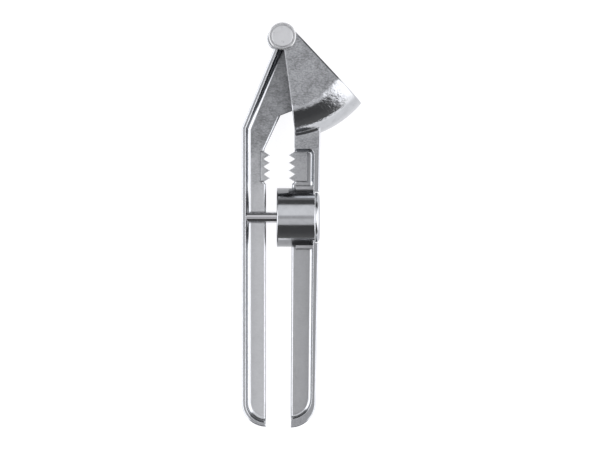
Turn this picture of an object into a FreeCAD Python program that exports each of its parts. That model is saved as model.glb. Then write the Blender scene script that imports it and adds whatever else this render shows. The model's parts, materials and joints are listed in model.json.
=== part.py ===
# Garlic press with a sieve chamber, nutcracker jaws and a cherry pitter.
#
# Two aluminium castings turn on one rivet. The chamber arm carries the sector
# shaped chamber, the sieve, one jaw and the pitter's cup. The plunger arm carries
# the plunger, the other jaw and the pitter's pin.
#
# Every body is drawn about the hinge: X across the handles, Y along them (the
# handles hang towards -Y) and Z along the rivet, with the mid-plane at Z = 0.
# One placement then puts the bottom centre of the whole press on the origin.
# Angles of the chamber are measured from straight down (-Y) towards +X.

import FreeCAD, Part
import math
import os
import re

import Sketcher
from FreeCAD import Vector

DIMENSIONS = {
    # how far cuts run past a face
    "overrun": 1.0,
    # what the rounded edges take off the chamber's outer corner
    "corner_loss": 0.237,
    # hinge
    "rivet_radius": 2.5,
    "rivet_head_radius": 4.55,
    "rivet_head_height": 1.3,
    "rivet_head_edge": 0.25,
    "rivet_sink_radius": 4.0,
    "rivet_sink_depth": 1.5,
    "rivet_running_gap": 0.05,
    "washer_radius": 5.9,
    "washer_thickness": 0.35,
    "washer_rim": 1.15,
    "washer_recess": 4.95,
    "washer_bevel": 0.45,
    "ear_radius": 5.9,
    "hub_radius": 5.3,
    "hub_side_gap": 0.2,
    # chamber
    "cheek_half": 16.5,
    "wall": 2.4,
    "chamber_radius": 44.6,
    "mouth_angle": 7.5,
    "mouth_edge": 0.5,
    "slant_edge": 0.7,
    "sieve_angle": 43.1,
    "sieve_offset": 5.5,
    "lip_thickness": 0.8,
    "lip_width": 1.6,
    "lip_start": 8.0,
    "sieve_thickness": 1.5,
    "sieve_edge_gap": 0.4,
    "sieve_hole_radius": 0.9,
    "sieve_pitch": 2.9,
    "sieve_margin": 0.8,
    # plunger
    "closing_angle": 2.7,
    "plunger_thickness": 2.4,
    "plunger_side_gap": 0.4,
    "plunger_face_gap": 0.5,
    # both handles
    "flange_half": 8.2,
    "web_half": 1.3,
    "flange_root": 1.8,
    "end_height": 158.0,
    "rim_round": 0.5,
    "web_round": 0.9,
    "jaw_half": 3.6,
    "jaw_draft": 5.0,
    "jaw_step": 0.9,
    "jaw_lean": 0.2,
    "tooth_pitch": 3.32,
    "tooth_depth": 2.7,
    "jaw_top": 49.4,
    # chamber arm
    "guard_inner": 5.2,
    "guard_outer": 16.5,
    "guard_radius": 40.0,
    "cove_radius": 2.8,
    "cove_depth": 1.0,
    "cove_end": 21.3,
    "pocket_top": 48.5,
    "pocket_side": 13.6,
    "pocket_side_end": 12.6,
    "pocket_corner": 2.4,
    "right_root_cove": 1.5,
    "right_inner": 4.1,
    "right_inner_end": 3.55,
    "right_outer_end": 14.35,
    "right_end_extra": 2.0,
    "right_jaw_root": 5.2,
    "right_jaw_back": 5.9,
    # plunger arm
    "left_outer": 17.6,
    "left_inner": 7.15,
    "left_jaw_root": 8.0,
    "left_jaw_back": 1.8,
    "left_root_cove": 2.3,
    "bend_height": 39.3,
    "lean_angle": 22.6,
    "knuckle_x": 1.9,
    "knuckle_y": 0.9,
    "knuckle_radius": 4.8,
    "arch_x": 0.9,
    "arch_y": 33.9,
    "arch_foot_y": 48.6,
    "plunger_web_length": 33.6,
    # pitter
    "pitter_height": 78.0,
    "cup_radius": 12.8,
    "cup_bore": 10.8,
    "cup_edge": 0.5,
    "cup_mouth": 2.47,
    "cup_shoulder": 14.2,
    "cup_floor": 9.6,
    "cup_throat": 13.0,
    "cup_end": 16.2,
    "boss_radius": 10.8,
    "boss_round": 1.8,
    "boss_recess": 11.0,
    "stone_hole_radius": 4.5,
    "saddle_half": 4.4,
    "saddle_reach": 13.9,
    "saddle_inner": 5.4,
    "saddle_sink": 1.2,
    "pin_radius": 2.5,
    "pin_root": 16.0,
    "pin_tip": 10.4,
    "pin_chamfer": 0.6,
}

JAW_TEETH = 4
BEYOND = 40.0
NEAR = 0.4


def cells(text):
    """An expression in plain dimension names, as one that reads the sheet."""
    def named(match):
        word = match.group(0)
        return "dims." + word if word in DIMENSIONS else word
    return re.sub(r"[a-z_]+", named, str(text))


def value(sheet, text):
    return float(sheet.evalExpression(cells(text)))


def bind(item, prop, text):
    item.setExpression(prop, cells(text))


def make_sheet(doc):
    sheet = doc.addObject("Spreadsheet::Sheet", "dims")
    for row, (name, size) in enumerate(DIMENSIONS.items(), start=1):
        sheet.set(f"A{row}", name)
        sheet.set(f"B{row}", str(size))
        sheet.setAlias(f"B{row}", name)
    doc.recompute()
    return sheet


# ---------------------------------------------------------------- drawing

def polar(radius, angle):
    """The point at a radius from the hinge, at an angle from straight down."""
    return (f"({radius}) * sin({angle})", f"-({radius}) * cos({angle})")


def off_line(angle, along, out):
    """A point along a ray from the hinge and out from it, towards the sieve side."""
    return (
        f"({along}) * sin({angle}) + ({out}) * cos({angle})",
        f"({out}) * sin({angle}) - ({along}) * cos({angle})",
    )


def sketch_on(body, name, role):
    """A new sketch on one of the body's own origin planes."""
    sketch = body.newObject("Sketcher::SketchObject", name)
    plane = [item for item in body.Origin.OriginFeatures if item.Role == role][0]
    sketch.AttachmentSupport = [(plane, "")]
    sketch.MapMode = "FlatFace"
    return sketch


def tilt_to_ray(sketch, angle, out):
    """Turns an XZ sketch so that its x runs along a ray from the hinge."""
    sketch.AttachmentOffset = FreeCAD.Placement(
        Vector(0, 0, 0), FreeCAD.Rotation(Vector(0, 1, 0), 1)
    )
    bind(sketch, "AttachmentOffset.Rotation.Angle", f"({angle}) - 90")
    bind(sketch, "AttachmentOffset.Base.x", f"({out}) * cos({angle})")
    bind(sketch, "AttachmentOffset.Base.z", f"-({out}) * sin({angle})")


def arc_between(start, end, radius, turn):
    """The short arc from start to end that bends to the left or to the right."""
    chord = end - start
    rise = math.sqrt(max(radius ** 2 - chord.Length ** 2 / 4, 0))
    left = Vector(-chord.y, chord.x, 0).normalize()
    centre = (start + end) * 0.5 + left * (rise if turn == "left" else -rise)
    first, last = (start, end) if turn == "left" else (end, start)
    angles = [math.atan2(p.y - centre.y, p.x - centre.x) for p in (first, last)]
    return Part.ArcOfCircle(Part.Circle(centre, Vector(0, 0, 1), radius), *angles)


def draw(sheet, sketch, corners):
    """A closed outline. A corner is (x, y), or (x, y, radius, turn) where an arc leaves it."""
    points = [Vector(value(sheet, c[0]), value(sheet, c[1]), 0) for c in corners]
    first_edge = sketch.GeometryCount
    ends = []
    for index, corner in enumerate(corners):
        here, there = points[index], points[(index + 1) % len(points)]
        if len(corner) == 2:
            sketch.addGeometry(Part.LineSegment(here, there), False)
            ends.append((1, 2))
        else:
            arc = arc_between(here, there, value(sheet, corner[2]), corner[3])
            sketch.addGeometry(arc, False)
            ends.append((1, 2) if corner[3] == "left" else (2, 1))
    for index, corner in enumerate(corners):
        edge = first_edge + index
        before = first_edge + (index - 1) % len(corners)
        join = Sketcher.Constraint("Coincident", before, ends[index - 1][1], edge, ends[index][0])
        sketch.addConstraint(join)
        for axis, size in (("DistanceX", points[index].x), ("DistanceY", points[index].y)):
            text = corner[0] if axis == "DistanceX" else corner[1]
            place = Sketcher.Constraint(axis, -1, 1, edge, ends[index][0], size)
            number = sketch.addConstraint(place)
            bind(sketch, f"Constraints[{number}]", text)
        if len(corner) > 2:
            size = Sketcher.Constraint("Radius", edge, value(sheet, corner[2]))
            number = sketch.addConstraint(size)
            bind(sketch, f"Constraints[{number}]", corner[2])


def draw_circle(sheet, sketch, x, y, radius):
    centre = Vector(value(sheet, x), value(sheet, y), 0)
    circle = Part.Circle(centre, Vector(0, 0, 1), value(sheet, radius))
    edge = sketch.addGeometry(circle, False)
    for axis, text, size in (("DistanceX", x, centre.x), ("DistanceY", y, centre.y)):
        number = sketch.addConstraint(Sketcher.Constraint(axis, -1, 1, edge, 3, size))
        bind(sketch, f"Constraints[{number}]", text)
    number = sketch.addConstraint(Sketcher.Constraint("Radius", edge, value(sheet, radius)))
    bind(sketch, f"Constraints[{number}]", radius)


# ---------------------------------------------------------------- features

def make_body(doc, label):
    body = doc.addObject("PartDesign::Body", label)
    body.Label = label
    return body


def pad(body, sketch, half):
    """A pad to both sides of its sketch."""
    feature = body.newObject("PartDesign::Pad", sketch.Name + "_pad")
    feature.Profile = sketch
    feature.SideType = "Symmetric"
    bind(feature, "Length", f"2 * ({half})")


def pad_inward(body, sketch, depth):
    """A pad to the side that a tilted sketch faces: away from the sieve side."""
    feature = body.newObject("PartDesign::Pad", sketch.Name + "_pad")
    feature.Profile = sketch
    bind(feature, "Length", depth)


def tapered_pad(body, sketch, half, draft):
    """A pad to both sides whose flanks lean in by the draft."""
    feature = body.newObject("PartDesign::Pad", sketch.Name + "_pad")
    feature.Profile = sketch
    feature.SideType = "Two sides"
    for side in ("", "2"):
        bind(feature, "Length" + side, half)
        bind(feature, "TaperAngle" + side, f"-({draft})")


def pocket_through(body, sketch):
    feature = body.newObject("PartDesign::Pocket", sketch.Name + "_cut")
    feature.Profile = sketch
    feature.SideType = "Symmetric"
    feature.Type = "Length"
    feature.Length = 4 * BEYOND


def turned(body, sketch, kind, axis):
    """A full turn of the sketch, added (Revolution) or cut away (Groove)."""
    feature = body.newObject("PartDesign::" + kind, sketch.Name + "_turned")
    feature.Profile = sketch
    feature.ReferenceAxis = (sketch, [axis])
    feature.Angle = 360
    return feature


def mirror_across_web(body, feature):
    plane = [item for item in body.Origin.OriginFeatures if item.Role == "XY_Plane"][0]
    mirrored = body.newObject("PartDesign::Mirrored", feature.Name + "_mirrored")
    mirrored.Originals = [feature]
    mirrored.MirrorPlane = (plane, [""])
    body.Tip = mirrored


def edge_points(edge):
    """The two ends and the middle of an edge."""
    first, last = edge.ParameterRange
    return [edge.valueAt(place) for place in (first, (first + last) / 2, last)]


def flat_edges(feature, level, test):
    """Names of the edges that lie at +-level and whose middle passes the test."""
    names = []
    for number, edge in enumerate(feature.Shape.Edges, start=1):
        points = edge_points(edge)
        flat = all(abs(abs(point.z) - level) < 0.001 for point in points)
        one_side = abs(points[0].z - points[2].z) < 0.001
        if flat and one_side and test(points[1].x, points[1].y):
            names.append(f"Edge{number}")
    return names


def round_edges(doc, sheet, body, name, level, radius, test):
    """A fillet on those edges of the body so far."""
    doc.recompute()
    base = body.Tip
    fillet = body.newObject("PartDesign::Fillet", name)
    fillet.Base = (base, flat_edges(base, value(sheet, level), test))
    bind(fillet, "Radius", radius)
    doc.recompute()


def jaw(sheet, body, name, root, back, side):
    """A toothed pad on the web. Side is +1 where the teeth point to +X."""
    teeth = []
    for number in range(JAW_TEETH):
        start = f"-jaw_top - tooth_pitch * {number}"
        teeth.append((f"{root}", start))
        teeth.append((f"{root} + {side} * tooth_depth", f"{start} - tooth_pitch / 2"))
    bottom = f"-{UNDER_JAW}"
    sketch = sketch_on(body, name, "XY_Plane")
    draw(sheet, sketch, [(back, "-jaw_top")] + teeth + [(root, bottom), (back, bottom)])
    tapered_pad(body, sketch, "jaw_half", "jaw_draft")


# ---------------------------------------------------------------- chamber arm

INNER_RADIUS = "(chamber_radius - wall)"
INNER_HALF = "(cheek_half - wall)"
ROUND_START = "(chamber_radius - cheek_half)"
CORNER_ANGLE = "(sieve_angle + asin(sieve_offset / chamber_radius) / 1 deg)"
EAR_ANGLE = "(sieve_angle + asin(sieve_offset / ear_radius) / 1 deg)"
UNDER_JAW = f"(jaw_top + tooth_pitch * {JAW_TEETH})"


def chamber_shell(sheet, body):
    """Two ears that grow into the sector."""
    outline = sketch_on(body, "sector", "XY_Plane")
    draw(sheet, outline, [
        polar("ear_radius", "mouth_angle"),
        polar("chamber_radius", "mouth_angle") + ("chamber_radius", "left"),
        polar("chamber_radius", CORNER_ANGLE),
        polar("ear_radius", EAR_ANGLE) + ("ear_radius", "left"),
        ("0", "ear_radius", "ear_radius", "left"),
        ("-ear_radius", "0", "ear_radius", "left"),
    ])
    pad(body, outline, "cheek_half")


def chamber_round(sheet, body):
    """Turns the sector's outer corner round, from cheek to cheek."""
    corner = sketch_on(body, "sector_round", "XZ_Plane")
    draw(sheet, corner, [
        (ROUND_START, "cheek_half", "cheek_half", "right"),
        ("chamber_radius", "0", "cheek_half", "right"),
        (ROUND_START, "-cheek_half"),
        (f"chamber_radius + {BEYOND}", "-cheek_half"),
        (f"chamber_radius + {BEYOND}", "cheek_half"),
    ])
    turned(body, corner, "Groove", "V_Axis")


def chamber_edges(doc, sheet, body):
    """Rounds the cheeks' two straight sides: the mouth's a little, the slant's more."""
    ear = value(sheet, "ear_radius")
    flat_reach = value(sheet, ROUND_START)
    middle = math.radians(value(sheet, "(mouth_angle + sieve_angle) / 2"))

    def straight_edge(x, y):
        reach = math.hypot(x, y)
        return reach > ear + NEAR and abs(reach - flat_reach) > NEAR

    def slanted_edge(x, y):
        return straight_edge(x, y) and x > -y * math.tan(middle)

    def mouth_edge(x, y):
        return straight_edge(x, y) and x < -y * math.tan(middle)

    round_edges(doc, sheet, body, "slant_fillet", "cheek_half", "slant_edge", slanted_edge)
    round_edges(doc, sheet, body, "mouth_fillet", "cheek_half", "mouth_edge", mouth_edge)


RIGHT_END_RADIUS = "(right_outer_end - right_inner_end)"


def on_guard(x):
    """The point of the guard block's top arc at the distance x to the side."""
    return (x, f"-sqrt(guard_radius * guard_radius - {x} * {x})")


def chamber_web(sheet, body):
    """The handle's thin web on the mid-plane."""
    outline = sketch_on(body, "handle", "XY_Plane")
    draw(sheet, outline, [
        ("guard_inner + wall", "wall - chamber_radius"),
        ("guard_inner", "-wall - chamber_radius"),
        ("guard_inner", f"-{UNDER_JAW}"),
        ("right_inner", f"-{UNDER_JAW} - jaw_step"),
        ("right_inner_end", "-end_height"),
        ("right_inner_end", f"-end_height - {RIGHT_END_RADIUS}", RIGHT_END_RADIUS, "left"),
        ("right_outer_end", "-end_height"),
        on_guard("guard_outer"),
    ])
    pad(body, outline, "web_half")


def chamber_flange(sheet, body):
    """The guard block under the chamber, and the flange down to its quarter-round end."""
    end_x = "right_inner_end"
    side_end = "-end_height + right_end_extra"
    inner_radius = f"(pocket_side_end - {end_x})"
    outline = sketch_on(body, "flange", "XY_Plane")
    draw(sheet, outline, [
        on_guard("guard_inner"),
        ("guard_inner", "-pocket_top"),
        ("pocket_side - pocket_corner", "-pocket_top", "pocket_corner", "right"),
        ("pocket_side", "-pocket_top - pocket_corner"),
        ("pocket_side_end", side_end, inner_radius, "right"),
        (end_x, f"{side_end} - {inner_radius}"),
        (end_x, f"-end_height - {RIGHT_END_RADIUS}", RIGHT_END_RADIUS, "left"),
        ("right_outer_end", "-end_height"),
        on_guard("guard_outer") + ("guard_radius", "right"),
    ])
    pad(body, outline, "flange_half")


def chamber_flange_edges(doc, sheet, body):
    """The cove between web and flange, the web's free edge and the flange's outer rim."""
    end_x = value(sheet, "right_inner_end")
    end_y = -value(sheet, "end_height")
    inner = value(sheet, "guard_inner") + NEAR
    pocket_top = -value(sheet, "pocket_top")
    outer = value(sheet, "right_outer_end") - NEAR
    end_radius = value(sheet, RIGHT_END_RADIUS)

    def root(x, y):
        return x > inner and y < pocket_top + NEAR

    def free_edge(x, y):
        return x < inner and y < pocket_top

    def outer_rim(x, y):
        if y < end_y:
            return math.hypot(x - end_x, y - end_y) > end_radius - NEAR
        return x > outer

    round_edges(doc, sheet, body, "root_cove", "web_half", "right_root_cove", root)
    round_edges(doc, sheet, body, "web_fillet", "web_half", "web_round", free_edge)
    round_edges(doc, sheet, body, "rim_fillet", "flange_half", "rim_round", outer_rim)


def guard_cove(doc, sheet, body):
    """The cove from the chamber's round wall to the guard block, on both sides."""
    out = "(cheek_half + cove_radius)"
    height = "(flange_half + cove_radius)"
    reach = f"sqrt({out} * {out} - {height} * {height})"
    touch_out = f"{ROUND_START} + {reach} * cheek_half / {out}"
    touch_height = f"{height} * cheek_half / {out}"
    cove = sketch_on(body, "cove", "XZ_Plane")
    tilt_to_ray(cove, "(mouth_angle + cove_end) / 2", "0")
    draw(sheet, cove, [
        (touch_out, touch_height, "cove_radius", "left"),
        (f"{ROUND_START} + {reach}", "flange_half"),
        (f"{ROUND_START} + {reach}", "flange_half - cove_depth"),
        (touch_out, "flange_half - cove_depth"),
    ])
    swept = turned(body, cove, "Revolution", "V_Axis")
    swept.Midplane = True
    bind(swept, "Angle", "cove_end - mouth_angle")
    doc.recompute()
    mirror_across_web(body, swept)


def chamber_cavity(sheet, body):
    """Hollows the sector between its cheeks, out to the round wall."""
    hollow = sketch_on(body, "hollow", "XZ_Plane")
    draw(sheet, hollow, [
        ("0", f"-{INNER_HALF}"),
        (ROUND_START, f"-{INNER_HALF}", INNER_HALF, "left"),
        (INNER_RADIUS, "0", INNER_HALF, "left"),
        (ROUND_START, INNER_HALF),
        ("0", INNER_HALF),
    ])
    turned(body, hollow, "Groove", "V_Axis")


def tongue(sheet, sketch, start, half):
    """A round-ended outline along a ray, concentric with the chamber's round wall."""
    draw(sheet, sketch, [
        (start, f"-({half})"),
        (ROUND_START, f"-({half})", half, "left"),
        (f"{ROUND_START} + {half}", "0", half, "left"),
        (ROUND_START, half),
        (start, half),
    ])


def sieve_lip(sheet, body):
    """A ledge round the slanted opening, which the sieve bears on."""
    ledge = sketch_on(body, "ledge", "XZ_Plane")
    tilt_to_ray(ledge, "sieve_angle", "sieve_offset")
    tongue(sheet, ledge, "lip_start", f"({INNER_HALF} + wall / 2)")
    pad_inward(body, ledge, "lip_thickness")
    window = sketch_on(body, "window", "XZ_Plane")
    tilt_to_ray(window, "sieve_angle", "sieve_offset")
    tongue(sheet, window, "lip_start + lip_width", f"({INNER_HALF} - lip_width)")
    cut = body.newObject("PartDesign::Pocket", "window_cut")
    cut.Profile = window
    cut.SideType = "Symmetric"
    bind(cut, "Length", "4 * lip_thickness")


def pitter_cup(sheet, body):
    """The stone cup: across the handle, on a saddle, with a boss in the flange's back."""
    saddle = sketch_on(body, "saddle", "XY_Plane")
    draw(sheet, saddle, [
        ("saddle_inner", "-pitter_height + saddle_reach"),
        ("saddle_inner", "-pitter_height - saddle_reach"),
        ("pocket_side + saddle_sink", "-pitter_height - saddle_reach"),
        ("pocket_side + saddle_sink", "-pitter_height + saddle_reach"),
    ])
    tapered_pad(body, saddle, "saddle_half", "jaw_draft")
    recess = sketch_on(body, "recess", "XY_Plane")
    draw(sheet, recess, [
        ("cup_shoulder", "-pitter_height - boss_recess"),
        (f"cup_shoulder + {BEYOND}", "-pitter_height - boss_recess"),
        (f"cup_shoulder + {BEYOND}", "-pitter_height + boss_recess"),
        ("cup_shoulder", "-pitter_height + boss_recess"),
    ])
    pocket_through(body, recess)
    cup = sketch_on(body, "cup", "XY_Plane")
    bind(cup, "AttachmentOffset.Base.y", "-pitter_height")
    draw(sheet, cup, [
        ("-cup_mouth", "0"),
        ("-cup_mouth", "cup_radius - cup_edge", "cup_edge", "right"),
        ("-cup_mouth + cup_edge", "cup_radius"),
        ("cup_shoulder - cup_edge", "cup_radius", "cup_edge", "right"),
        ("cup_shoulder", "cup_radius - cup_edge"),
        ("cup_shoulder", "boss_radius"),
        ("cup_end - boss_round", "boss_radius", "boss_round", "right"),
        ("cup_end", "boss_radius - boss_round"),
        ("cup_end", "0"),
    ])
    turned(body, cup, "Revolution", "H_Axis")
    bore = sketch_on(body, "cup_bore_outline", "XY_Plane")
    bind(bore, "AttachmentOffset.Base.y", "-pitter_height")
    draw(sheet, bore, [
        ("-cup_mouth - overrun", "0"),
        ("-cup_mouth - overrun", "cup_bore"),
        ("cup_floor", "cup_bore"),
        ("cup_throat", "stone_hole_radius"),
        ("cup_end + overrun", "stone_hole_radius"),
        ("cup_end + overrun", "0"),
    ])
    turned(body, bore, "Groove", "H_Axis")


def rivet_holes(sheet, body):
    """The rivet's hole through both ears, sunk in the rear one."""
    bore = sketch_on(body, "rivet_bore", "XZ_Plane")
    draw(sheet, bore, [
        ("0", "-cheek_half - overrun"),
        ("rivet_sink_radius", "-cheek_half - overrun"),
        ("rivet_sink_radius", "-cheek_half"),
        ("rivet_radius", "-cheek_half + rivet_sink_depth"),
        ("rivet_radius", "cheek_half + overrun"),
        ("0", "cheek_half + overrun"),
    ])
    turned(body, bore, "Groove", "V_Axis")


def chamber_arm(doc, sheet):
    body = make_body(doc, "chamber_arm")
    chamber_shell(sheet, body)
    chamber_round(sheet, body)
    chamber_edges(doc, sheet, body)
    chamber_web(sheet, body)
    chamber_flange(sheet, body)
    chamber_flange_edges(doc, sheet, body)
    chamber_cavity(sheet, body)
    guard_cove(doc, sheet, body)
    sieve_lip(sheet, body)
    jaw(sheet, body, "right_jaw", "right_jaw_root", "right_jaw_root + right_jaw_back", "-1")
    pitter_cup(sheet, body)
    rivet_holes(sheet, body)
    doc.recompute()
    return body


# ---------------------------------------------------------------- plunger arm

PLUNGER_OUT = "(sieve_offset - lip_thickness - sieve_thickness - plunger_face_gap)"
PLUNGER_ANGLE = "(sieve_angle - closing_angle)"


LEFT_END_RADIUS = "(left_outer - left_inner)"
WEB_END_RADIUS = "(left_outer - flange_root - left_inner)"
WEB_SIDE = "(-left_outer + flange_root)"
WEB_BEND = "(-bend_height - flange_root * tan(lean_angle / 2))"
WEB_OUT = f"{PLUNGER_OUT} - plunger_thickness / 2"
KNUCKLE_LEFT = ("-knuckle_x - knuckle_radius", "-knuckle_y", "knuckle_radius", "left")
KNUCKLE_FOOT = (
    "-knuckle_x - knuckle_radius * sin(lean_angle)",
    "-knuckle_y - knuckle_radius * cos(lean_angle)",
)


def into_plunger_web(sheet, x, y):
    """How far a point lies on the web's side of the line where web and flange meet."""
    lean = math.radians(value(sheet, "lean_angle"))
    bend_y = value(sheet, WEB_BEND)
    end_y = -value(sheet, "end_height")
    if y < end_y:
        return value(sheet, WEB_END_RADIUS) - math.hypot(x + value(sheet, "left_inner"), y - end_y)
    straight = x - value(sheet, WEB_SIDE)
    leaning = straight * math.cos(lean) - (y - bend_y) * math.sin(lean)
    return min(straight, leaning) if y < bend_y else leaning


def plunger_web(sheet, body):
    """The arm's thin web, from the handle's end up into the chamber."""
    outline = sketch_on(body, "web", "XY_Plane")
    draw(sheet, outline, [
        ("-left_outer", "-bend_height"),
        ("-left_outer", "-end_height", LEFT_END_RADIUS, "left"),
        ("-left_inner", f"-end_height - {LEFT_END_RADIUS}"),
        ("-left_inner", f"-{UNDER_JAW} - jaw_step"),
        ("-left_jaw_root", f"-{UNDER_JAW}"),
        ("-left_jaw_root + jaw_lean", "-arch_foot_y"),
        ("-arch_x", "-arch_y"),
        off_line(PLUNGER_ANGLE, "plunger_web_length", WEB_OUT),
        off_line(PLUNGER_ANGLE, "0", WEB_OUT),
        ("-knuckle_x + knuckle_radius", "-knuckle_y", "knuckle_radius", "left"),
        ("-knuckle_x", "-knuckle_y + knuckle_radius", "knuckle_radius", "left"),
        KNUCKLE_LEFT,
        KNUCKLE_FOOT,
    ])
    pad(body, outline, "web_half")


def plunger_flange(sheet, body):
    """The flange along the web's outer side, from the quarter-round end to the knuckle."""
    rise = "sqrt(knuckle_radius * knuckle_radius - flange_root * flange_root)"
    outline = sketch_on(body, "flange", "XY_Plane")
    draw(sheet, outline, [
        ("-left_outer", "-bend_height"),
        ("-left_outer", "-end_height", LEFT_END_RADIUS, "left"),
        ("-left_inner", f"-end_height - {LEFT_END_RADIUS}"),
        ("-left_inner", f"-end_height - {WEB_END_RADIUS}", WEB_END_RADIUS, "right"),
        (WEB_SIDE, "-end_height"),
        (WEB_SIDE, WEB_BEND),
        (f"-knuckle_x + flange_root * cos(lean_angle) + {rise} * sin(lean_angle)",
         f"-knuckle_y - flange_root * sin(lean_angle) + {rise} * cos(lean_angle)",
         "knuckle_radius", "left"),
        KNUCKLE_LEFT,
        KNUCKLE_FOOT,
    ])
    pad(body, outline, "flange_half")


def plunger_flange_edges(doc, sheet, body):
    """The same rounds as the other handle's, along the bend too."""
    foot = -value(sheet, "knuckle_y + knuckle_radius")
    arch = -value(sheet, "arch_y")
    outer = NEAR - value(sheet, "flange_root")
    free = value(sheet, "left_root_cove") + NEAR

    def root(x, y):
        return x < 0 and abs(into_plunger_web(sheet, x, y)) < NEAR

    def free_edge(x, y):
        return y < arch and into_plunger_web(sheet, x, y) > free

    def outer_rim(x, y):
        return y < foot and into_plunger_web(sheet, x, y) < outer

    round_edges(doc, sheet, body, "root_cove", "web_half", "left_root_cove", root)
    round_edges(doc, sheet, body, "web_fillet", "web_half", "web_round", free_edge)
    round_edges(doc, sheet, body, "rim_fillet", "flange_half", "rim_round", outer_rim)


def plunger_hub(sheet, body):
    """The hub on the rivet, from ear to ear."""
    hub = sketch_on(body, "hub", "XY_Plane")
    draw_circle(sheet, hub, "0", "0", "hub_radius")
    pad(body, hub, f"{INNER_HALF} - hub_side_gap")


def plunger_head(sheet, body):
    """The tongue that sweeps the chamber."""
    head = sketch_on(body, "head", "XZ_Plane")
    tilt_to_ray(head, PLUNGER_ANGLE, PLUNGER_OUT)
    tongue(sheet, head, "0", f"({INNER_HALF} - plunger_side_gap)")
    pad_inward(body, head, "plunger_thickness")


def pin_seat(sheet, body):
    """The round seat across web and flange that holds the stone pin."""
    seat = sketch_on(body, "pin_seat", "XY_Plane")
    bind(seat, "AttachmentOffset.Base.y", "-pitter_height")
    draw(sheet, seat, [
        ("-pin_root", "0"),
        ("-pin_root", "pin_radius"),
        ("0", "pin_radius"),
        ("0", "0"),
    ])
    turned(body, seat, "Groove", "H_Axis")


def plunger_arm(doc, sheet):
    body = make_body(doc, "plunger_arm")
    plunger_web(sheet, body)
    plunger_hub(sheet, body)
    plunger_flange(sheet, body)
    plunger_flange_edges(doc, sheet, body)
    plunger_head(sheet, body)
    jaw(sheet, body, "left_jaw", "-left_jaw_root", "-left_jaw_root - left_jaw_back", "1")
    pin_seat(sheet, body)
    bore = sketch_on(body, "hub_bore", "XY_Plane")
    draw_circle(sheet, bore, "0", "0", "rivet_radius + rivet_running_gap")
    pocket_through(body, bore)
    doc.recompute()
    return body


# ---------------------------------------------------------------- small pieces

def turned_piece(doc, sheet, label, role, axis, corners, lift="0"):
    """A body made in one full turn, with its axis lifted off the hinge."""
    body = make_body(doc, label)
    profile = sketch_on(body, label + "_profile", role)
    bind(profile, "AttachmentOffset.Base.y", lift)
    draw(sheet, profile, corners)
    turned(body, profile, "Revolution", axis)
    doc.recompute()
    return body


def hinge_rivet(doc, sheet):
    """Headed at the front, and spread into the rear ear's countersink."""
    seat = "(cheek_half + washer_thickness)"
    top = f"({seat} + rivet_head_height)"
    return turned_piece(doc, sheet, "hinge_rivet", "XZ_Plane", "V_Axis", [
        ("0", "-cheek_half"),
        ("rivet_sink_radius", "-cheek_half"),
        ("rivet_radius", "-cheek_half + rivet_sink_depth"),
        ("rivet_radius", seat),
        ("rivet_head_radius", seat),
        ("rivet_head_radius", f"{top} - rivet_head_edge", "rivet_head_edge", "left"),
        ("rivet_head_radius - rivet_head_edge", top),
        ("0", top),
    ])


def hinge_washer(doc, sheet):
    """The cup washer that the rivet's head sits in, with a bevelled rim."""
    return turned_piece(doc, sheet, "hinge_washer", "XZ_Plane", "V_Axis", [
        ("rivet_radius", "cheek_half"),
        ("washer_radius", "cheek_half"),
        ("washer_radius", "cheek_half + washer_rim - washer_bevel"),
        ("washer_radius - washer_bevel", "cheek_half + washer_rim"),
        ("washer_recess", "cheek_half + washer_rim"),
        ("washer_recess", "cheek_half + washer_thickness"),
        ("rivet_radius", "cheek_half + washer_thickness"),
    ])


def pitter_pin(doc, sheet):
    """The steel pin that drives the stone through the cup."""
    return turned_piece(doc, sheet, "pitter_pin", "XY_Plane", "H_Axis", [
        ("-pin_root", "0"),
        ("-pin_root", "pin_radius"),
        ("pin_tip - pin_chamfer", "pin_radius"),
        ("pin_tip", "pin_radius - pin_chamfer"),
        ("pin_tip", "0"),
    ], lift="-pitter_height")


def sieve_holes(sheet):
    """Hole centres in a staggered grid, inside the lip's window with a margin."""
    pitch = value(sheet, "sieve_pitch")
    margin = value(sheet, "sieve_hole_radius + sieve_margin")
    start = value(sheet, "lip_start + lip_width") + margin
    centre = value(sheet, ROUND_START)
    half = value(sheet, f"{INNER_HALF} - lip_width") - margin
    rise = pitch * math.sqrt(3) / 2
    rows = int(half / rise)
    for row in range(-rows, rows + 1):
        shift = pitch / 2 if row % 2 else 0
        count = 0
        while True:
            x = start + shift + count * pitch
            y = row * rise
            inside = x <= centre or math.hypot(x - centre, y) <= half
            if not inside:
                break
            yield x, y
            count += 1


def sieve_plate(doc, sheet):
    """The perforated plate that stands against the ledge inside the chamber."""
    body = make_body(doc, "sieve_plate")
    plate = sketch_on(body, "plate", "XZ_Plane")
    tilt_to_ray(plate, "sieve_angle", "sieve_offset - lip_thickness")
    tongue(sheet, plate, "lip_start", f"({INNER_HALF} - sieve_edge_gap)")
    pad_inward(body, plate, "sieve_thickness")
    holes = sketch_on(body, "holes", "XZ_Plane")
    tilt_to_ray(holes, "sieve_angle", "sieve_offset - lip_thickness")
    for x, y in sieve_holes(sheet):
        centre = Vector(x, y, 0)
        circle = Part.Circle(centre, Vector(0, 0, 1), value(sheet, "sieve_hole_radius"))
        holes.addGeometry(circle, False)
    pocket_through(body, holes)
    doc.recompute()
    return body


# ---------------------------------------------------------------- assembly

def place(bodies):
    """Lays the press on its rear cheek, with the middle of its outline on the origin."""
    right = f"(chamber_radius * sin({CORNER_ANGLE}) - corner_loss)"
    bottom = f"(end_height + {RIGHT_END_RADIUS})"
    for body in bodies:
        bind(body, "Placement.Base.x", f"(left_outer - {right}) / 2")
        bind(body, "Placement.Base.y", f"({bottom} - ear_radius) / 2")
        bind(body, "Placement.Base.z", "cheek_half")


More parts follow.
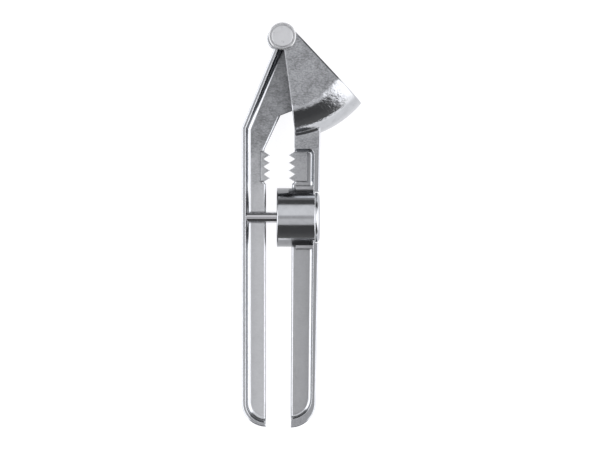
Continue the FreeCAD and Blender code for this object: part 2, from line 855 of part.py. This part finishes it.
def check(doc, bodies):
    failed = [item.Name for item in doc.Objects if {"Invalid", "Error"} & set(item.State)]
    for body in bodies:
        if body.Shape.isNull() or not body.Shape.isValid():
            failed.append(body.Label)
    if failed:
        raise RuntimeError("these objects failed: " + ", ".join(failed))


def main():
    doc = FreeCAD.newDocument("garlic_press")
    sheet = make_sheet(doc)
    makers = [chamber_arm, plunger_arm, sieve_plate, hinge_rivet, hinge_washer, pitter_pin]
    bodies = [make(doc, sheet) for make in makers]
    place(bodies)
    doc.recompute()
    check(doc, bodies)
    os.makedirs("parts", exist_ok=True)
    for body in bodies:
        body.Shape.exportStep(f"parts/{body.Label}.step")
        box = body.Shape.BoundBox
        print(f"{body.Label}: {len(body.Shape.Solids)} solid, {body.Shape.Volume:.0f} mm3, "
              f"X {box.XMin:.2f} {box.XMax:.2f} Y {box.YMin:.2f} {box.YMax:.2f} "
              f"Z {box.ZMin:.2f} {box.ZMax:.2f}")


main()
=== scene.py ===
import json
import math

import bpy
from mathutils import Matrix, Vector


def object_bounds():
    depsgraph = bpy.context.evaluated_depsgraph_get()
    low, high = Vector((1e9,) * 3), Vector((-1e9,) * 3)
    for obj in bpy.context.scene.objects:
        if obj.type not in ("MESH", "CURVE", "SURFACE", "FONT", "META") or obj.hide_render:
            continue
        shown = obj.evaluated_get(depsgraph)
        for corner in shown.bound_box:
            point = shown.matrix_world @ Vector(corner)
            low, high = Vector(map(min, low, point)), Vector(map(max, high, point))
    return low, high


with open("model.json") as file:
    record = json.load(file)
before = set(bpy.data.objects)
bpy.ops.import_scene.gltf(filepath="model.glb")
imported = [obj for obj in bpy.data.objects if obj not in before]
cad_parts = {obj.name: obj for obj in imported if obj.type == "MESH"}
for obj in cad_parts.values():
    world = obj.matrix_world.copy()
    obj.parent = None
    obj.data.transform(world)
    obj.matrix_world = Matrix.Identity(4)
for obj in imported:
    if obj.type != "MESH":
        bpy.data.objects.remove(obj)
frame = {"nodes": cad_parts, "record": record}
cad_box = [list(corner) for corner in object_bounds()]

nodes = frame["nodes"]
MM = 0.001
HINGE = Vector(frame["record"]["behaviour"]["joints"][0]["pos_m"])
MID_Z = HINGE.z

# sizes of the castings that their materials follow
CHEEK_HALF = MID_Z - cad_box[0][2]
FLANGE_HALF = 8.2 * MM
WEB_REACH = 4.9 * MM
GUARD_FOOT = HINGE.y - 48.55 * MM
CHAMBER_FOOT = HINGE.y - 49 * MM
CUP_Y = HINGE.y - 78 * MM
CUP_REACH = 13.5 * MM
CUP_SHOULDER = HINGE.x + 14.05 * MM
SLANT_ANGLE = math.radians(43.1)
SLANT_OUT = 5.5 * MM
SLANT_FLAT = (5 * MM, 31 * MM)

# brightness of the metals, of 1
POLISHED = (0.66, 0.60)
# painted shade: each casting's cast faces have a lit tone and a darker shaded tone, the shaded one
# above the given border, nearer the hinge
CHAMBER_CAST = {"dark": 0.30, "light": 0.38, "shaded_above": HINGE.y - 50 * MM}
PLUNGER_CAST = {"dark": 0.27, "light": 0.52, "shaded_above": HINGE.y - 57 * MM}
# painted shade: grey level of the dark line along the slanted edge of the chamber's cheek
SLANT_SHADE_TONE = 0.05
RIVET_TONE = 0.68
WASHER_TONE = 0.74

# painted shade: how much darker the castings' steep sides are painted than their tops, and the cup's
# sides, in place of the shaded floor they reflect
SIDE_SHADE = 0.76
CUP_SHADE = 0.42

# radius of the soft shading at sharp edges
CHAMBER_EDGE = 0.45 * MM
PLUNGER_EDGE = 0.8 * MM

# the room: grey levels at elevations in degrees, each shared near the zenith
ZENITH = [(83, 0.60), (86, 0.42), (90, 0.38)]
AROUND = [(0, 1.3), (20, 1.7), (60, 1.8), (78, 1.5)] + ZENITH
AT_FOOT = [(0, 0.13), (30, 0.07), (59, 0.06), (63, 0.58), (80, 0.64)] + ZENITH
AT_HEAD = [(0, 0.30), (14, 0.25), (19, 0.07), (37, 0.07), (43, 0.78), (80, 0.86)] + ZENITH
FOOT_EDGE = (0.67, 0.79)
HEAD_EDGE = (0.50, 0.66)
BACKDROP = (0.93, 0.93, 0.94, 1)
FLOOR_HALF = 6.0
FLOOR_GLOW = 1.12
FILL_SIZE = 2.4
FILL_HEIGHT = 2.2
FILL_POWER = 3

# the camera
VIEW_WIDTH = 0.2599
VIEW_DISTANCE = 2.4
AIM = Vector((-0.00063, 0.00015, MID_Z))
SENSOR = 36.0


# ---------------------------------------------------------------- node helpers

class Tree:
    """A short way to write a material's nodes."""

    def __init__(self, name):
        self.material = bpy.data.materials.new(name)
        self.material.use_nodes = True
        self.nodes = self.material.node_tree.nodes
        self.links = self.material.node_tree.links
        self.shader = self.nodes["Principled BSDF"]
        self.place = self.nodes.new("ShaderNodeTexCoord").outputs["Object"]

    def feed(self, socket, source):
        if isinstance(source, bpy.types.NodeSocket):
            self.links.new(source, socket)
        else:
            socket.default_value = source

    def math(self, operation, first, second=0.0, clamp=False):
        node = self.nodes.new("ShaderNodeMath")
        node.operation = operation
        node.use_clamp = clamp
        self.feed(node.inputs[0], first)
        self.feed(node.inputs[1], second)
        return node.outputs[0]

    def ramp(self, source, low, high, out_low=0.0, out_high=1.0):
        """source going from low to high, eased, as a value from out_low to out_high."""
        node = self.nodes.new("ShaderNodeMapRange")
        node.interpolation_type = "SMOOTHSTEP"
        self.feed(node.inputs["Value"], source)
        node.inputs["From Min"].default_value = low
        node.inputs["From Max"].default_value = high
        node.inputs["To Min"].default_value = out_low
        node.inputs["To Max"].default_value = out_high
        return node.outputs["Result"]

    def axes(self, vector):
        node = self.nodes.new("ShaderNodeSeparateXYZ")
        self.links.new(vector, node.inputs[0])
        return node.outputs

    def stretched(self, scale, offset=(0, 0, 0)):
        """The object's own coordinates, less an offset, times a scale for each axis."""
        shift = self.nodes.new("ShaderNodeVectorMath")
        shift.operation = "SUBTRACT"
        self.links.new(self.place, shift.inputs[0])
        shift.inputs[1].default_value = offset
        node = self.nodes.new("ShaderNodeVectorMath")
        node.operation = "MULTIPLY"
        self.links.new(shift.outputs[0], node.inputs[0])
        node.inputs[1].default_value = scale
        return node.outputs[0]

    def noise(self, vector, detail=3.0, roughness=0.55, scale=1.0):
        node = self.nodes.new("ShaderNodeTexNoise")
        self.links.new(vector, node.inputs["Vector"])
        node.inputs["Scale"].default_value = scale
        node.inputs["Detail"].default_value = detail
        node.inputs["Roughness"].default_value = roughness
        return node.outputs["Fac"]

    def mix(self, factor, first, second):
        node = self.nodes.new("ShaderNodeMix")
        node.data_type = "RGBA"
        self.feed(node.inputs["Factor"], factor)
        self.feed(node.inputs["A"], first)
        self.feed(node.inputs["B"], second)
        return [out for out in node.outputs if out.type == "RGBA"][0]

    def blend(self, factor, first, second):
        node = self.nodes.new("ShaderNodeMix")
        node.data_type = "FLOAT"
        self.feed(node.inputs["Factor"], factor)
        self.feed(node.inputs["A"], first)
        self.feed(node.inputs["B"], second)
        return [out for out in node.outputs if out.type == "VALUE"][0]

    def bump(self, height, distance, strength, under=None):
        node = self.nodes.new("ShaderNodeBump")
        node.inputs["Distance"].default_value = distance
        self.feed(node.inputs["Strength"], strength)
        self.links.new(height, node.inputs["Height"])
        if under is not None:
            self.links.new(under, node.inputs["Normal"])
        return node.outputs["Normal"]

    def scaled(self, colour, factor):
        node = self.nodes.new("ShaderNodeVectorMath")
        node.operation = "SCALE"
        self.links.new(colour, node.inputs[0])
        self.links.new(factor, node.inputs["Scale"])
        return node.outputs[0]

    def eased_edges(self, radius):
        """Normals that turn smoothly round the solid's sharp edges."""
        node = self.nodes.new("ShaderNodeBevel")
        node.samples = 6
        node.inputs["Radius"].default_value = radius
        return node.outputs["Normal"]

    def put(self, name, source):
        self.feed(self.shader.inputs[name], source)


def grey(level, blue=0.02):
    return (level, level * (1 + blue * 0.4), level * (1 + blue), 1.0)


# ---------------------------------------------------------------- materials

def between(t, source, low, high, soft):
    """1 where source lies from low to high, falling to 0 over the soft distance."""
    rise = t.ramp(source, low - soft, low + soft)
    fall = t.ramp(source, high - soft, high + soft, 1.0, 0.0)
    return t.math("MULTIPLY", rise, fall)


class Casting(Tree):
    """Aluminium polished where a wheel reaches, left grainy on webs, cheeks and lands."""

    def __init__(self, name, tones, edge_radius, has_chamber):
        super().__init__(name)
        self.tones = tones
        self.has_chamber = has_chamber
        self.x, self.y, z = self.axes(self.place)[:3]
        self.height = self.math("ABSOLUTE", self.math("SUBTRACT", z, MID_Z))
        normal = self.nodes.new("ShaderNodeNewGeometry").outputs["Normal"]
        self.facing = self.math("ABSOLUTE", self.axes(normal)[2])
        self.flat = self.ramp(self.facing, 0.985, 0.997)

        self.fine = self.noise(self.stretched((2600, 2600, 2600)), 4, 0.6)
        self.grain = self.noise(self.stretched((1100, 1900, 1100)), 5, 0.7)
        self.blotch = self.noise(self.stretched((260, 260, 260)), 5, 0.62)
        self.cloud = self.noise(self.stretched((70, 70, 70)), 3, 0.55)
        self.brushed = self.noise(self.stretched((1500, 50, 1500)), 4, 0.6)
        self.mottle = self.sum_of(0.65, self.grain, 0.35, self.blotch)

        self.cast = self.cast_mask()
        self.high = self.hinge_shade_mask()
        self.wall = self.wall_mask() if has_chamber else None
        self.put("Base Color", self.colour())
        self.put("Metallic", 1.0)
        self.put("Roughness", self.roughness())
        self.put("Normal", self.surface(edge_radius))

    def sum_of(self, first_share, first, second_share, second):
        parts = self.math("MULTIPLY", first, first_share), self.math("MULTIPLY", second, second_share)
        return self.math("ADD", *parts)

    def cast_mask(self):
        """Where the grain is left: cheeks, webs and the guard block's top."""
        ragged = self.math("MULTIPLY", self.math("SUBTRACT", self.blotch, 0.5), 0.8 * MM)
        edge = self.math("ADD", self.height, ragged)
        cheek = self.ramp(edge, CHEEK_HALF - 0.30 * MM, CHEEK_HALF - 0.10 * MM)
        low = self.ramp(self.height, WEB_REACH + 0.3 * MM, WEB_REACH - 0.3 * MM)
        grainy = self.math("MAXIMUM", cheek, self.math("MULTIPLY", self.flat, low))
        if self.has_chamber:
            level = (FLANGE_HALF - 0.1 * MM, FLANGE_HALF + 0.1 * MM)
            top = between(self, self.height, *level, 0.05 * MM)
            above = self.ramp(self.y, GUARD_FOOT - 0.25 * MM, GUARD_FOOT + 0.25 * MM)
            land = self.math("MULTIPLY", self.math("MULTIPLY", top, above), self.flat)
            grainy = self.math("MAXIMUM", grainy, land)
        return grainy

    def hinge_shade_mask(self):
        """Painted shade: where the cast faces are painted darker, nearer to the hinge, with a cloudy
        border.
        """
        wander = self.math("MULTIPLY", self.math("SUBTRACT", self.cloud, 0.5), 40 * MM)
        along = self.math("ADD", self.y, wander)
        border = self.tones["shaded_above"]
        return self.ramp(along, border - 11 * MM, border + 11 * MM)

    def wall_mask(self):
        """The chamber's round wall, between its cheeks and the flanges' height."""
        rise = self.ramp(self.height, FLANGE_HALF, FLANGE_HALF + 3 * MM)
        chamber = self.ramp(self.y, CHAMBER_FOOT - 1 * MM, CHAMBER_FOOT + 1 * MM)
        polished = self.math("SUBTRACT", 1.0, self.cast)
        return self.math("MULTIPLY", self.math("MULTIPLY", rise, chamber), polished)

    def cup_shade_mask(self):
        """Where the cup's sides get a deeper painted shade: the cup's own length of the handle, short
        of its boss.
        """
        beside = between(self, self.y, CUP_Y - CUP_REACH, CUP_Y + CUP_REACH, 0.3 * MM)
        inner = self.ramp(self.x, CUP_SHOULDER - 0.15 * MM, CUP_SHOULDER + 0.15 * MM, 1.0, 0.0)
        return self.math("MULTIPLY", beside, inner)

    def slant_shade_mask(self):
        """A painted shade: a dark line along the slanted edge of the chamber's cheek."""
        right = self.math("SUBTRACT", self.x, HINGE.x)
        up = self.math("SUBTRACT", self.y, HINGE.y)
        cosine, sine = math.cos(SLANT_ANGLE), math.sin(SLANT_ANGLE)
        out = self.sum_of(cosine, right, sine, up)
        along = self.sum_of(sine, right, -cosine, up)
        edge = self.ramp(out, SLANT_OUT - 0.75 * MM, SLANT_OUT - 0.40 * MM)
        return self.math("MULTIPLY", edge, between(self, along, *SLANT_FLAT, 3 * MM))

    def colour(self):
        polished = [grey(tone, 0.05) for tone in POLISHED]
        polished = self.mix(self.ramp(self.blotch, 0.35, 0.7), *polished)
        # painted shade: the polished metal's steep sides are darkened, the cup's sides more
        steep = self.ramp(self.facing, 0.62, 0.72, 1.0, 0.0)
        shade = self.blend(self.cup_shade_mask(), SIDE_SHADE, CUP_SHADE) if self.has_chamber else SIDE_SHADE
        polished = self.scaled(polished, self.blend(steep, 1.0, shade))

        # painted shade: the cast faces darken from their lit tone to a shaded tone nearer the hinge,
        # where the speckle is also harder
        tone = self.mix(self.high, grey(self.tones["light"], 0.03), grey(self.tones["dark"], 0.05))
        soft_speckle = self.ramp(self.mottle, 0.3, 0.7, 0.92, 1.08)
        hard_speckle = self.ramp(self.mottle, 0.32, 0.68, 0.55, 1.5)
        grainy = self.scaled(tone, self.blend(self.high, soft_speckle, hard_speckle))

        colour = self.mix(self.cast, polished, grainy)
        if self.has_chamber:
            # painted shade: a dark line along the slanted edge of the cheek
            colour = self.mix(self.slant_shade_mask(), colour, grey(SLANT_SHADE_TONE))
        return colour

    def roughness(self):
        streak = self.sum_of(0.5, self.brushed, 0.5, self.blotch)
        polished = self.ramp(streak, 0.35, 0.65, 0.09, 0.17)
        rough = self.blend(self.cast, polished, self.ramp(self.mottle, 0.3, 0.7, 0.30, 0.50))
        if self.has_chamber:
            rough = self.blend(self.wall, rough, self.ramp(self.mottle, 0.35, 0.65, 0.07, 0.13))
        return rough

    def surface(self, edge_radius):
        """The polish's long waves, its fine lines, the cast faces' pits, and a fine grain."""
        polish = self.bump(self.cloud, 0.05 * MM, 0.4, self.eased_edges(edge_radius))
        line_strength = self.math("SUBTRACT", 0.6, self.math("MULTIPLY", self.cast, 0.6))
        lines = self.bump(self.brushed, 0.004 * MM, line_strength, polish)
        pit_strength = self.math("MULTIPLY", self.cast, self.blend(self.high, 0.25, 0.6))
        pits = self.bump(self.mottle, 0.12 * MM, pit_strength, lines)
        if self.has_chamber:
            pits = self.bump(self.blotch, 0.25 * MM, self.math("MULTIPLY", self.wall, 0.6), pits)
        return self.bump(self.fine, 0.02 * MM, self.blend(self.cast, 0.10, 0.4), pits)


def turned_metal(name, centre, tone, rough, rings):
    """Metal with fine turning rings about a line along Z through the centre."""
    t = Tree(name)
    local = t.stretched((1, 1, 0), centre)
    length = t.nodes.new("ShaderNodeVectorMath")
    length.operation = "LENGTH"
    t.links.new(local, length.inputs[0])
    radius = length.outputs["Value"]
    ring = t.nodes.new("ShaderNodeTexNoise")
    ring.noise_dimensions = "1D"
    t.links.new(t.math("MULTIPLY", radius, rings), ring.inputs["W"])
    ring.inputs["Detail"].default_value = 4
    blotch = t.noise(t.stretched((500, 500, 500)), 4, 0.6)
    t.put("Base Color", t.mix(blotch, grey(tone), grey(tone * 0.88)))
    t.put("Metallic", 1.0)
    t.put("Roughness", t.ramp(blotch, 0.3, 0.7, rough, rough + 0.12))
    turned = t.bump(ring.outputs["Fac"], 0.012 * MM, 0.5)
    t.put("Normal", t.bump(blotch, 0.02 * MM, 0.3, turned))
    return t.material


def ground_steel():
    """The pin: ground round and polished, with faint grinding lines round it."""
    t = Tree("ground_steel")
    lines = t.noise(t.stretched((9000, 300, 300)), 3, 0.6)
    cloud = t.noise(t.stretched((400, 900, 900)), 3, 0.5)
    t.put("Base Color", t.mix(cloud, (0.66, 0.66, 0.67, 1), (0.58, 0.58, 0.60, 1)))
    t.put("Metallic", 1.0)
    t.put("Roughness", t.ramp(lines, 0.3, 0.7, 0.07, 0.16))
    t.put("Normal", t.bump(lines, 0.003 * MM, 0.5))
    return t.material


def stamped_sheet():
    """The sieve: rolled sheet with a soft directional grain."""
    t = Tree("stamped_sheet")
    rolled = t.noise(t.stretched((400, 400, 5000)), 3, 0.6)
    cloud = t.noise(t.stretched((300, 300, 300)), 4, 0.6)
    t.put("Base Color", t.mix(cloud, grey(0.60), grey(0.50)))
    t.put("Metallic", 1.0)
    t.put("Roughness", t.ramp(cloud, 0.3, 0.7, 0.22, 0.34))
    t.put("Normal", t.bump(rolled, 0.01 * MM, 0.5))
    return t.material


def pale_floor():
    t = Tree("pale_floor")
    cloud = t.noise(t.stretched((6, 6, 6)), 3, 0.5)
    tone = t.mix(cloud, (0.80, 0.80, 0.815, 1), (0.82, 0.82, 0.835, 1))
    t.put("Base Color", t.mix(cloud, (0.20, 0.20, 0.205, 1), (0.22, 0.22, 0.225, 1)))
    t.put("Roughness", t.ramp(cloud, 0.3, 0.7, 0.75, 0.85))
    t.put("Emission Color", tone)
    t.put("Emission Strength", FLOOR_GLOW)
    return t.material


def dress(name, material):
    """Gives a CAD node its material, and smooth shading between its sharp edges."""
    item = nodes[name]
    item.data.materials.clear()
    item.data.materials.append(material)
    item.data.shade_smooth()
    item.data.set_sharp_from_angle(angle=math.radians(28))
    return item


# ---------------------------------------------------------------- stage

def make_floor():
    half = FLOOR_HALF
    mesh = bpy.data.meshes.new("floor")
    corners = [(-half, -half, 0), (half, -half, 0), (half, half, 0), (-half, half, 0)]
    mesh.from_pydata(corners, [], [(0, 1, 2, 3)])
    mesh.materials.append(pale_floor())
    floor = bpy.data.objects.new("floor", mesh)
    floor.location.z = cad_box[0][2]
    bpy.context.scene.collection.objects.link(floor)


def steps(tree, source, stops):
    """A colour ramp of grey levels at the sines of the given elevations."""
    node = tree.nodes.new("ShaderNodeValToRGB")
    ramp = node.color_ramp
    while len(ramp.elements) > 1:
        ramp.elements.remove(ramp.elements[-1])
    ramp.elements[0].position = 0.0
    ramp.elements[0].color = (stops[0][1],) * 3 + (1,)
    for elevation, level in stops[1:]:
        element = ramp.elements.new(math.sin(math.radians(elevation)))
        element.color = (level, level, level * 1.03, 1)
    tree.links.new(source, node.inputs["Fac"])
    return node.outputs["Color"]


def make_world():
    """A white room with dark panels at the foot and the head of the table."""
    world = bpy.data.worlds.new("studio")
    bpy.context.scene.world = world
    world.use_nodes = True
    tree = world.node_tree
    background = tree.nodes["Background"]
    direction = tree.nodes.new("ShaderNodeTexCoord").outputs["Generated"]
    parts = tree.nodes.new("ShaderNodeSeparateXYZ")
    tree.links.new(direction, parts.inputs[0])
    x, y, z = parts.outputs

    def calc(operation, first, second=0.0):
        node = tree.nodes.new("ShaderNodeMath")
        node.operation = operation
        for socket, source in zip(node.inputs, (first, second)):
            if isinstance(source, bpy.types.NodeSocket):
                tree.links.new(source, socket)
            else:
                socket.default_value = source
        return node.outputs[0]

    def eased(source, low, high):
        node = tree.nodes.new("ShaderNodeMapRange")
        node.interpolation_type = "SMOOTHSTEP"
        tree.links.new(source, node.inputs["Value"])
        node.inputs["From Min"].default_value = low
        node.inputs["From Max"].default_value = high
        return node.outputs["Result"]

    def mixed(factor, first, second):
        node = tree.nodes.new("ShaderNodeMix")
        node.data_type = "RGBA"
        tree.links.new(factor, node.inputs["Factor"])
        tree.links.new(first, node.inputs["A"])
        tree.links.new(second, node.inputs["B"])
        return [out for out in node.outputs if out.type == "RGBA"][0]

    flat = calc("SQRT", calc("ADD", calc("MULTIPLY", x, x), calc("MULTIPLY", y, y)))
    northing = calc("DIVIDE", y, calc("MAXIMUM", flat, 0.001))
    foot = eased(calc("MULTIPLY", northing, -1.0), *FOOT_EDGE)
    head = eased(northing, *HEAD_EDGE)
    around, at_foot, at_head = (steps(tree, z, stops) for stops in (AROUND, AT_FOOT, AT_HEAD))
    sky = mixed(head, mixed(foot, around, at_foot), at_head)
    seen = tree.nodes.new("ShaderNodeLightPath").outputs["Is Camera Ray"]
    plain = tree.nodes.new("ShaderNodeRGB")
    plain.outputs[0].default_value = BACKDROP
    tree.links.new(mixed(seen, sky, plain.outputs[0]), background.inputs["Color"])
    background.inputs["Strength"].default_value = 1.0


def make_fill():
    """A broad overhead light that brightens the floor without showing in the metal."""
    data = bpy.data.lights.new("fill", "AREA")
    data.shape = "SQUARE"
    data.size = FILL_SIZE
    data.energy = FILL_POWER
    lamp = bpy.data.objects.new("fill", data)
    lamp.location = (0, 0, FILL_HEIGHT)
    lamp.visible_glossy = False
    bpy.context.scene.collection.objects.link(lamp)


def make_camera():
    """Looks straight down on the front cheek with a long lens, the hinge at the top."""
    data = bpy.data.cameras.new("camera")
    data.sensor_width = SENSOR
    data.lens = data.sensor_width * VIEW_DISTANCE / VIEW_WIDTH
    data.clip_end = 50
    camera = bpy.data.objects.new("camera", data)
    camera.location = AIM + Vector((0, 0, VIEW_DISTANCE))
    bpy.context.scene.collection.objects.link(camera)
    bpy.context.scene.camera = camera


def main():
    dress("chamber_arm", Casting("chamber_casting", CHAMBER_CAST, CHAMBER_EDGE, True).material)
    dress("plunger_arm", Casting("plunger_casting", PLUNGER_CAST, PLUNGER_EDGE, False).material)
    dress("sieve_plate", stamped_sheet())
    dress("hinge_rivet", turned_metal("turned_rivet", HINGE, RIVET_TONE, 0.26, 2600))
    dress("hinge_washer", turned_metal("turned_washer", HINGE, WASHER_TONE, 0.14, 1800))
    dress("pitter_pin", ground_steel())
    make_floor()
    make_world()
    make_fill()
    make_camera()
    settings = bpy.context.scene.view_settings
    settings.view_transform = "Standard"


main()
